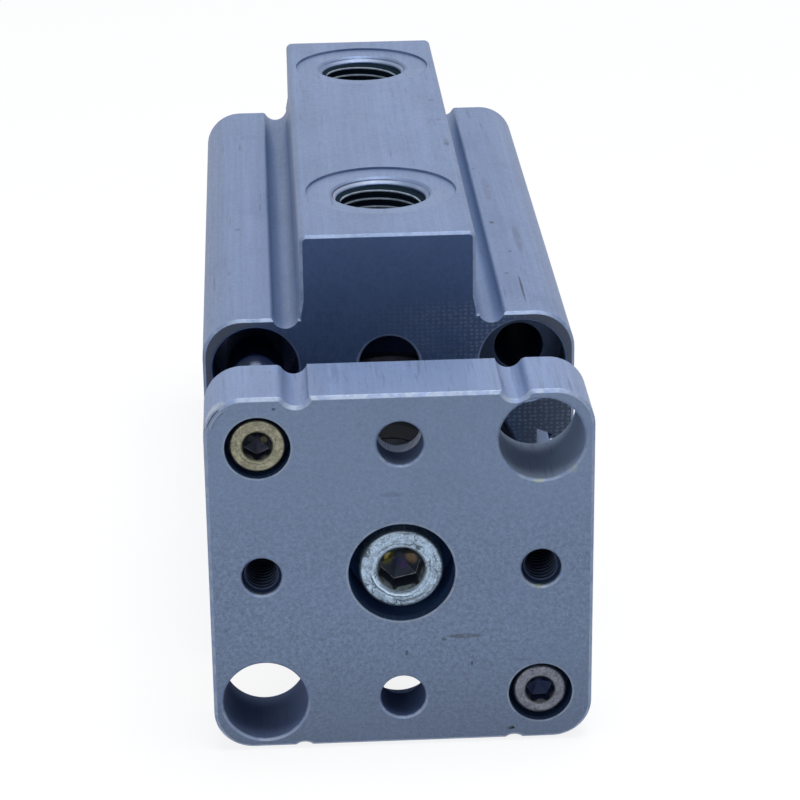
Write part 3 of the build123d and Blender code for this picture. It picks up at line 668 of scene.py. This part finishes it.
# Light patches on the lower rims of the right access hole and the right tapped hole: painted glints.
RIM_GLINTS = plate_marks(0.1, (
    (13.7, 9.55, 0.55, (0.8, 2.2), (0.36, 0.42, 0.37), 0.8),
    (17.0, 10.75, 0.50, (0.8, 0.9), (0.36, 0.42, 0.37), 0.7),
    (13.7, -2.05, 0.45, (0.8, 2.0), (0.26, 0.30, 0.24), 0.8),
))
PLATE_MARKS = RIM_GLINTS + plate_marks(0.0, (
    (11.0, -18.0, 0.30, (0.6, 1.3), (0.004, 0.005, 0.008), 1.0),
    (6.3, -7.3, 1.1, (0.5, 3.5), (0.06, 0.065, 0.06), 0.6),
    (4.2, -7.6, 0.28, (0.8, 1.2), (0.05, 0.07, 0.10), 0.7),
    (0.4, -9.0, 0.25, (1.2, 0.7), (0.04, 0.06, 0.12), 0.8),
    (7.0, -10.4, 0.2, (1.2, 0.6), (0.05, 0.07, 0.12), 0.8),
    (-17.8, -5.8, 0.25, (1.0, 1.0), (0.05, 0.07, 0.12), 0.8),
    (-12.3, 18.1, 0.25, (1.0, 1.2), (0.04, 0.06, 0.12), 0.8),
    (-0.8, 8.6, 0.9, (0.6, 2.6), (0.09, 0.11, 0.19), 0.3),
))
SHOULDER_MARKS = level_marks(SHOULDER / MM, (
    (15.6, -52.0, 2.6, (5.0, 0.45), (0.07, 0.09, 0.14), 0.45),
    (14.6, -68.0, 2.6, (16.0, 0.5), (0.03, 0.04, 0.07), 0.9),
    (13.2, -46.0, 0.38, (1.0, 0.7), (0.06, 0.06, 0.12), 0.85),
    (14.4, -56.0, 0.30, (1.2, 0.8), (0.05, 0.06, 0.10), 0.85),
    (13.4, -63.0, 0.28, (0.8, 1.2), (0.04, 0.05, 0.09), 0.85),
    (12.6, -26.0, 0.32, (1.3, 0.6), (0.06, 0.07, 0.12), 0.7),
    (13.6, -34.0, 2.2, (4.0, 0.4), (0.09, 0.11, 0.18), 0.4),
    (-15.6, -46.0, 0.4, (1.0, 0.7), (0.06, 0.07, 0.12), 0.6),
))
ROUNDING_MARKS = level_marks(SHOULDER / MM - 0.2, (
    (-16.6, -60.0, 0.5, (1.6, 0.6), (0.08, 0.10, 0.16), 0.5),
))
RIB_MARKS = level_marks(RIB_TOP / MM, (
    (7.6, -27.0, 0.5, (1.0, 0.8), (0.06, 0.07, 0.12), 0.5),
    (7.9, -35.0, 0.4, (1.0, 0.8), (0.06, 0.07, 0.12), 0.5),
    (8.2, -44.5, 0.6, (1.4, 0.6), (0.05, 0.06, 0.10), 0.6),
    (-8.0, -33.0, 0.35, (2.0, 0.5), (0.08, 0.10, 0.16), 0.5),
    (-7.4, -22.0, 0.35, (1.4, 0.7), (0.08, 0.10, 0.16), 0.5),
))
BARREL_MARKS = SHOULDER_MARKS + ROUNDING_MARKS + RIB_MARKS

# Screw sizes in millimetres. Scars says how battered the plating is.
# A stain has its place from the middle of the head's top, its radius, tint and strength. The M5's two bright
# gold stains are painted glints.

M5 = {"head": 8.5, "height": 5.0, "hex": 4.0, "socket": 2.5, "shank": 5.0, "length": 14.0, "pitch": 0.8,
      "rounding": 0.42, "scars": 1.0}
M3 = {"head": 5.5, "height": 3.0, "hex": 2.5, "socket": 1.4, "shank": 3.0, "length": 10.0, "pitch": 0.5,
      "rounding": 0.26, "scars": 0.35}
DULL_M3 = {**M3, "rounding": 0.42, "scars": 0.15}
M5_STAINS_AND_GLINTS = (
    ((-1.15, 2.6, 0.15), 1.10, (0.10, 0.10, 0.02), 0.95),
    ((-0.10, 2.6, 0.75), 0.60, (0.085, 0.105, 0.095), 0.8),
    # Painted glints: the two bright gold patches.
    ((-1.20, 2.6, 0.08), 0.58, (1.0, 0.85, 0.25), 1.0),
    ((-1.00, 2.6, 0.42), 0.62, (1.0, 0.92, 0.35), 1.0),
    ((0.95, 2.6, -0.05), 0.95, (0.26, 0.18, 0.10), 0.7),
    ((0.30, 3.0, -0.85), 0.60, (0.035, 0.020, 0.075), 0.9),
    ((-0.20, 3.0, -0.45), 0.65, (0.012, 0.015, 0.055), 0.9),
)
M3_STAINS = (
    ((0.55, 1.5, 0.0), 0.55, (0.16, 0.15, 0.08), 0.8),
    ((-0.50, 1.5, 0.15), 0.55, (0.045, 0.065, 0.055), 0.8),
)

# Threads cut in holes, in millimetres: the radii of the wall and the crests, the pitch, and the depths
# between which the thread runs

Thread = namedtuple("Thread", "wall crest pitch start stop steps_per_turn")
PORT_THREAD = Thread(PORT_HOLE, 4.285, 0.907, 0.80, 9.1, 72)
PLATE_THREAD = Thread(TAPPED_HOLE, 1.62, 0.7, 0.60, 8.5, 44)

# The barrel's end faces get a far darker colour than its sides: painted shade, as they sit in shadow behind
# the plate.
barrel_aluminium = BarrelAluminium("body_aluminium", side=(0.172, 0.240, 0.405), face=(0.053, 0.096, 0.210),
                                   front=BARREL_FRONT, back=BARREL_REAR)
# The plate's end faces get a somewhat darker colour than its sides: partly their own finish, partly painted
# shade.
plate_aluminium = PlateAluminium("plate_aluminium", side=(0.205, 0.280, 0.470), face=(0.187, 0.250, 0.366),
                                 front=PLATE_FRONT, back=PLATE_BACK)
blue_zinc = Zinc("zinc_steel", colour=(0.36, 0.47, 0.60), inner=(0.020, 0.028, 0.045),
                 side_tint=(0.42, 0.55, 0.58), stains_and_glints=M5_STAINS_AND_GLINTS, centre=MIDDLE, size=M5, top=M5_TOP)
yellow_zinc = Zinc("yellow_zinc_steel", colour=(0.285, 0.280, 0.205), inner=(0.014, 0.017, 0.030),
                   side_tint=(0.30, 0.34, 0.34), stains_and_glints=M3_STAINS, centre=UPPER_GUIDE, size=M3, top=M3_TOP)
grey_zinc = Zinc("grey_zinc_steel", colour=(0.185, 0.200, 0.245), inner=(0.012, 0.020, 0.055),
                 side_tint=(0.20, 0.24, 0.32), stains_and_glints=(), centre=LOWER_GUIDE, size=DULL_M3, top=M3_TOP)
materials = {
    "body_aluminium": barrel_aluminium.build(BARREL_WELLS, BARREL_RINGS, BARREL_MARKS),
    "plate_aluminium": plate_aluminium.build(PLATE_WELLS, PLATE_RINGS, PLATE_MARKS),
    "zinc_steel": blue_zinc.build(),
    "yellow_zinc_steel": yellow_zinc.build(),
    "grey_zinc_steel": grey_zinc.build(),
}
# The guide rods' steel is a far darker colour than the piston rod's: painted shade, as they are seen deep in
# their bores.
for name, colour in (("rod_steel", (0.30, 0.35, 0.45)), ("guide_steel", (0.150, 0.185, 0.270))):
    materials[name] = ground_steel(name, colour)
for name, colour, roughness, grain, metallic in (
        ("cap_aluminium", (0.045, 0.054, 0.075), 0.5, 900, 0.6),
        ("ring_steel", (0.045, 0.05, 0.065), 0.4, 1200, 1.0),
        # The bushes' bronze is a dark blue-grey: partly oil-darkened bronze, partly painted shade deep in the
        # bores.
        ("bush_bronze", (0.085, 0.100, 0.150), 0.45, 1500, 0.7),
        ("seal_rubber", (0.012, 0.013, 0.017), 0.6, 1500, 0.0),
        ("wiper_rubber", (0.014, 0.016, 0.022), 0.6, 1500, 0.0),
        ("bumper_rubber", (0.030, 0.030, 0.032), 0.6, 1500, 0.0),
        ("magnet_plastic", (0.045, 0.045, 0.050), 0.6, 1500, 0.0),
        ("band_plastic", (0.10, 0.08, 0.05), 0.55, 1500, 0.0)):
    materials[name] = plain_metal(name, colour, roughness, grain, metallic)
# Crest tints are painted light on the threads, and flank tints painted shade.
port_thread = tapped("port_thread", crest_highlight=(0.42, 0.50, 0.60), flank_shade=(0.008, 0.018, 0.030),
                     centres=(FRONT_PORT, REAR_PORT), across=ALONG_Z, crest=PORT_THREAD.crest)
plate_thread = tapped("plate_thread", crest_highlight=(0.110, 0.140, 0.20), flank_shade=(0.014, 0.026, 0.062),
                      centres=(LEFT_TAPPED, RIGHT_TAPPED), across=ALONG_Y, crest=PLATE_THREAD.crest)
for row in frame["record"]["subparts"]:
    mesh = nodes[row["node"]].data
    mesh.materials.clear()
    mesh.materials.append(materials[row["material_slot"]])

# Pieces built here: threads in the ports and the plate, and screws with knurled heads


def add_piece(name, points, faces, body, material, replaced=()):
    mesh = bpy.data.meshes.new(name)
    mesh.from_pydata(points, [], faces)
    mesh.shade_smooth()
    mesh.set_sharp_from_angle(angle=radians(32))
    mesh.materials.append(material)
    piece = bpy.data.objects.new(name, mesh)
    bpy.context.scene.collection.objects.link(piece)
    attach(piece, body)
    if replaced:
        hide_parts(*replaced)


def grid_faces(rings, segments, start=0):
    """Quads between rings of points, each ring closed on itself."""
    faces = []
    for ring in range(rings - 1):
        low, high = start + ring * segments, start + (ring + 1) * segments
        for i in range(segments):
            j = (i + 1) % segments
            faces.append((high + i, high + j, low + j, low + i))
    return faces


def end_faces(segments, first, first_ring, last, last_ring):
    """Fans that close a tube between its end rings and the middle points of its ends."""
    faces = []
    for i in range(segments):
        j = (i + 1) % segments
        faces.append((first, first_ring + i, first_ring + j))
        faces.append((last, last_ring + j, last_ring + i))
    return faces


def inner_thread(name, thread, mouth, inward, side, body, material):
    """A right-hand helical ridge on a hole's wall, tapering out at both ends."""
    inward, side, mouth = Vector(inward), Vector(side), Vector(mouth)
    other = inward.cross(side)
    sunk_into_wall, above_wall, taper_turns, half_root, half_crest = 0.06, 0.02, 0.3, 0.48, 0.06
    root = thread.wall + sunk_into_wall
    highest = thread.wall + above_wall - thread.crest
    turns = (thread.stop - thread.start) / thread.pitch
    count = ceil(turns * thread.steps_per_turn)
    points = []
    for number in range(count + 1):
        turn = turns * number / count
        rise = min(1.0, turn / taper_turns, (turns - turn) / taper_turns)
        top = thread.wall + above_wall - highest * rise
        out = side * cos(tau * turn) + other * sin(tau * turn)
        for radius, along in ((root, -half_root), (top, -half_crest), (top, half_crest), (root, half_root)):
            depth = thread.start + thread.pitch * (turn + along)
            points.append(mouth + (out * radius + inward * depth) * MM)
    last = count * 4
    faces = grid_faces(count + 1, 4) + [(0, 1, 2, 3), (last + 3, last + 2, last + 1, last)]
    add_piece(name, points, faces, body, material)


def head_outline(size, turn, teeth):
    """A screw head's rings of points, from the socket's floor outwards, in millimetres.

    Each ring has its radius, or a function that gives it for an angle, and its depth below the top.
    """
    head, height, rounding = size["head"] / 2, size["height"], size["rounding"]
    hexagon, socket = size["hex"] / 2, size["socket"]
    knurl_depth, cone_depth = 0.014 * size["head"], 0.3 * hexagon
    mouth, mouth_bevel, mouth_depth = hexagon / cos(tau / 12) * 1.035, 0.06, 0.04
    hexagon_start, bottom_bevel = 0.36, 0.15
    knurl_start, knurl_end = rounding + 0.12, height - 0.3

    def hexagonal(angle):
        return hexagon / cos((angle - turn) % (tau / 6) - tau / 12)

    def drilled(angle):
        return hexagonal(angle) * 0.5

    def knurled(angle):
        return head - knurl_depth * (0.5 + 0.5 * cos((angle - turn) * teeth))

    outline = [(drilled, socket + cone_depth), (hexagonal, socket), (hexagonal, hexagon_start),
               (mouth, mouth_depth), (mouth + mouth_bevel, 0.0), (head - rounding, 0.0)]
    for share in (0.25, 0.5, 0.75, 1.0):
        bend = pi / 2 * share
        outline.append((head - rounding * (1 - sin(bend)), rounding * (1 - cos(bend))))
    outline += [(knurled, knurl_start), (knurled, knurl_end)]
    return outline + [(head, height - bottom_bevel), (head - bottom_bevel, height)]


def socket_screw(name, centre, top, size, turn, teeth, slot, replaced):
    """A screw facing -Y: hexagon socket with stains and painted glints, rounded rim, straight knurl and a
    threaded shank.
    """

    def point(radius, angle, along):
        return (centre[0] + radius * sin(angle) * MM, top + along * MM, centre[1] + radius * cos(angle) * MM)

    segments, height, tip_of_cone = teeth * 4, size["height"], size["socket"] + 0.275 * size["hex"]
    outline = head_outline(size, turn, teeth)
    angles = [turn + tau * i / segments for i in range(segments)]
    points = []
    for shape, along in outline:
        points += [point(shape(angle) if callable(shape) else shape, angle, along) for angle in angles]
    faces = grid_faces(len(outline), segments)
    first = len(points)
    points += [point(0, 0, tip_of_cone), point(0, 0, height)]
    faces += end_faces(segments, first, 0, first + 1, (len(outline) - 1) * segments)

    # Shank: a grid whose radius follows a right-hand thread
    around, rows_per_turn, pitch, length = 36, 6, size["pitch"], size["length"]
    crest, depth = size["shank"] / 2 - 0.01, 0.61 * pitch
    inside_head, crest_share, flank_share = 0.1, 0.12, 0.63
    rows = ceil(length / pitch * rows_per_turn)
    base = len(points)
    for row in range(rows + 1):
        along = height - inside_head + (length + inside_head) * row / rows
        narrowing = max(0.0, along - (height + length - pitch)) / pitch
        for i in range(around):
            wave = abs(2 * ((along / pitch - i / around) % 1.0) - 1)
            cut = depth * min(1.0, max(0.0, (wave - crest_share) / flank_share))
            points.append(point(crest - max(cut, depth * narrowing), tau * i / around, along))
    faces += grid_faces(rows + 1, around, base)
    first = len(points)
    points += [point(0, 0, height - inside_head), point(0, 0, height + length)]
    faces += end_faces(around, first, base, first + 1, base + rows * around)
    add_piece(name, points, faces, "carriage", materials[slot], replaced)


SEAT_DEPTH = 0.3 * MM
for name, centre in (("front_port_thread", FRONT_PORT), ("rear_port_thread", REAR_PORT)):
    inner_thread(name, PORT_THREAD, mouth=(*centre, RIB_TOP - SEAT_DEPTH), inward=(0, 0, -1), side=(0, -1, 0),
                 body="cylinder", material=port_thread)
for name, centre in (("left_plate_thread", LEFT_TAPPED), ("right_plate_thread", RIGHT_TAPPED)):
    inner_thread(name, PLATE_THREAD, mouth=(centre[0], PLATE_FRONT, centre[1]), inward=(0, 1, 0),
                 side=(0, 0, 1), body="carriage", material=plate_thread)
socket_screw("knurled_plate_screw", MIDDLE, M5_TOP, M5, turn=radians(17), teeth=54, slot="zinc_steel",
             replaced=("plate_screw",))
socket_screw("knurled_upper_guide_screw", UPPER_GUIDE, M3_TOP, M3, turn=radians(4), teeth=42,
             slot="yellow_zinc_steel", replaced=("upper_guide_screw",))
socket_screw("knurled_lower_guide_screw", LOWER_GUIDE, M3_TOP, DULL_M3, turn=radians(27), teeth=42,
             slot="grey_zinc_steel", replaced=("lower_guide_screw",))

# Camera


def place_camera():
    """The camera fitted to the photo: angles in degrees, focal length in pixels of a picture 800 wide."""
    place, pitch, yaw, roll = (-0.01275, -0.35297, 0.12475), radians(22.408), radians(2.847), radians(-0.718)
    focal_pixels, picture, sensor = 2857.7, 800, 36
    forward = Vector((sin(yaw) * cos(pitch), cos(yaw) * cos(pitch), -sin(pitch)))
    level = Vector((cos(yaw), -sin(yaw), 0))
    rise = level.cross(forward)
    right = level * cos(roll) + rise * sin(roll)
    up = rise * cos(roll) - level * sin(roll)
    data = bpy.data.cameras.new("camera")
    data.sensor_width = sensor
    data.lens = focal_pixels / picture * sensor
    data.clip_start, data.clip_end = 0.01, 20
    camera = bpy.data.objects.new("camera", data)
    bpy.context.scene.collection.objects.link(camera)
    turn = Matrix((right, up, -forward)).transposed().to_4x4()
    camera.matrix_world = Matrix.Translation(place) @ turn
    bpy.context.scene.camera = camera


place_camera()

# Floor and light


def white_mix(tree, plain, white):
    """Shows white to the camera, to reflections and through clear things, and plain to all other light."""
    path = tree.nodes.new("ShaderNodeLightPath")
    seen = path.outputs["Is Camera Ray"]
    for name in ("Is Glossy Ray", "Is Transmission Ray"):
        either = tree.nodes.new("ShaderNodeMath")
        either.operation = "MAXIMUM"
        tree.links.new(seen, either.inputs[0])
        tree.links.new(path.outputs[name], either.inputs[1])
        seen = either.outputs[0]
    mixer = tree.nodes.new("ShaderNodeMixShader")
    tree.links.new(seen, mixer.inputs[0])
    tree.links.new(plain, mixer.inputs[1])
    tree.links.new(white, mixer.inputs[2])
    return mixer.outputs[0]


def make_world(diffuse_level, diffuse_colour):
    world = bpy.data.worlds.new("studio")
    world.use_nodes = True
    tree = world.node_tree
    plain = tree.nodes["Background"]
    white = tree.nodes.new("ShaderNodeBackground")
    for node, level, colour in ((plain, diffuse_level, diffuse_colour), (white, 1.0, (1.0, 1.0, 1.0))):
        node.inputs[0].default_value = (*colour, 1.0)
        node.inputs[1].default_value = level
    output = tree.nodes["World Output"]
    tree.links.new(white_mix(tree, plain.outputs[0], white.outputs[0]), output.inputs[0])
    bpy.context.scene.world = world


def make_floor(height, size, share_seen):
    """A pale floor. The camera sees it as white, with only part of the shadows on it."""
    half, shade, pure_white, white_level = size / 2, (0.56, 0.62, 0.74, 1), (1, 1, 1, 1), 1.04
    corners = [(x, y, height) for x, y in ((-half, -half), (half, -half), (half, half), (-half, half))]
    mesh = bpy.data.meshes.new("floor")
    mesh.from_pydata(corners, [], [(0, 1, 2, 3)])
    floor = bpy.data.objects.new("floor", mesh)
    bpy.context.scene.collection.objects.link(floor)
    material = bpy.data.materials.new("floor")
    material.use_nodes = True
    tree = material.node_tree
    base = tree.nodes["Principled BSDF"]
    base.inputs["Base Color"].default_value = shade
    base.inputs["Roughness"].default_value = 0.9
    base.inputs["Specular IOR Level"].default_value = 0.1
    white = tree.nodes.new("ShaderNodeEmission")
    white.inputs[0].default_value = pure_white
    white.inputs[1].default_value = white_level
    paper = tree.nodes.new("ShaderNodeBsdfDiffuse")
    paper.inputs[0].default_value = pure_white
    seen = tree.nodes.new("ShaderNodeMixShader")
    seen.inputs[0].default_value = share_seen
    tree.links.new(paper.outputs[0], seen.inputs[1])
    tree.links.new(white.outputs[0], seen.inputs[2])
    output = tree.nodes["Material Output"]
    tree.links.new(white_mix(tree, base.outputs[0], seen.outputs[0]), output.inputs[0])
    mesh.materials.append(material)


def make_lamp(name, place, aim, size, power):
    data = bpy.data.lights.new(name, "AREA")
    data.shape = "DISK"
    data.size = size
    data.energy = power
    lamp = bpy.data.objects.new(name, data)
    bpy.context.scene.collection.objects.link(lamp)
    lamp.location = place
    lamp.rotation_euler = (Vector(aim) - Vector(place)).to_track_quat("-Z", "Y").to_euler()


make_world(diffuse_level=0.22, diffuse_colour=(0.86, 0.95, 1.15))
make_floor(height=-SHOULDER, size=6.0, share_seen=0.82)
make_lamp("overhead", place=(0.06, -0.08, 0.62), aim=(0, -0.045, 0), size=0.42, power=3.1)
make_lamp("front_fill", place=(-0.36, -0.55, 0.22), aim=(0, -0.09, 0), size=0.25, power=0.34)

bpy.context.scene.view_settings.view_transform = "Standard"
